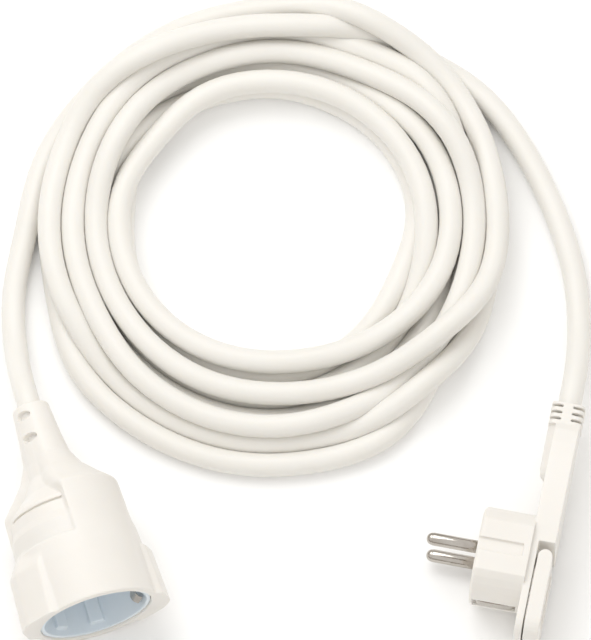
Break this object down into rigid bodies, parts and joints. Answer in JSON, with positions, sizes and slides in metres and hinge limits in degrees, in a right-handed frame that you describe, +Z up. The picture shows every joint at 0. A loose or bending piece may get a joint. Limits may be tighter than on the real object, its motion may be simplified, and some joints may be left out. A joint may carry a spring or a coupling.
{
  "type": "extension cord",
  "caption": "White mains extension cord: angled plug with a fold-out pull handle, coupler with a blue insert, and a coiled cord.",
  "frame": {"origin": "bottom centre of the box round the plug and the coupler, on the plane that the cord rests on", "axes": "+Z up; +X from the coupler to the plug; +Y away from the fittings, towards the coiled cord"},
  "size_m": [0.2182, 0.2535, 0.047],
  "materials": {
    "white_pvc": "satin moulded PVC",
    "cord_pvc": "soft PVC sheath",
    "blue_insert": "satin moulded plastic",
    "carrier_grey": "matt",
    "nickel": "nickel plated",
    "steel": "plain",
    "brass": "stamped",
    "core_brown": "PVC core",
    "core_blue": "PVC core",
    "core_green_yellow": "PVC core"
  },
  "bodies": {
    "cord_and_fittings": {"cord_coil": "cord_pvc", "cord_coupler_lead": "cord_pvc", "cord_plug_lead": "cord_pvc", "plug_body": "white_pvc", "plug_contact_carrier": "carrier_grey", "plug_pin_live": "nickel", "plug_pin_neutral": "nickel", "plug_earth_stirrup": "nickel", "plug_crimp_live": "brass", "plug_crimp_neutral": "brass", "plug_crimp_earth": "brass", "plug_wire_brown": "core_brown", "plug_wire_blue": "core_blue", "plug_wire_green_yellow": "core_green_yellow", "handle_hinge_pin": "steel", "coupler_body": "white_pvc", "coupler_insert": "blue_insert", "coupler_back_cover": "blue_insert", "coupler_contact_live": "brass", "coupler_contact_neutral": "brass", "coupler_earth_stirrup": "nickel", "coupler_crimp_live": "brass", "coupler_crimp_neutral": "brass", "coupler_crimp_earth": "brass", "coupler_wire_brown": "core_brown", "coupler_wire_blue": "core_blue", "coupler_wire_green_yellow": "core_green_yellow"},
    "handle": {"pull_handle": "white_pvc"}
  },
  "joints": [
    {"name": "handle_hinge", "type": "hinge", "parent": "cord_and_fittings", "child": "handle", "pos_m": [0.09148, -0.01618, 0.0155], "axis": [0, 0, 1], "range_deg": [0, 90]}
  ]
}
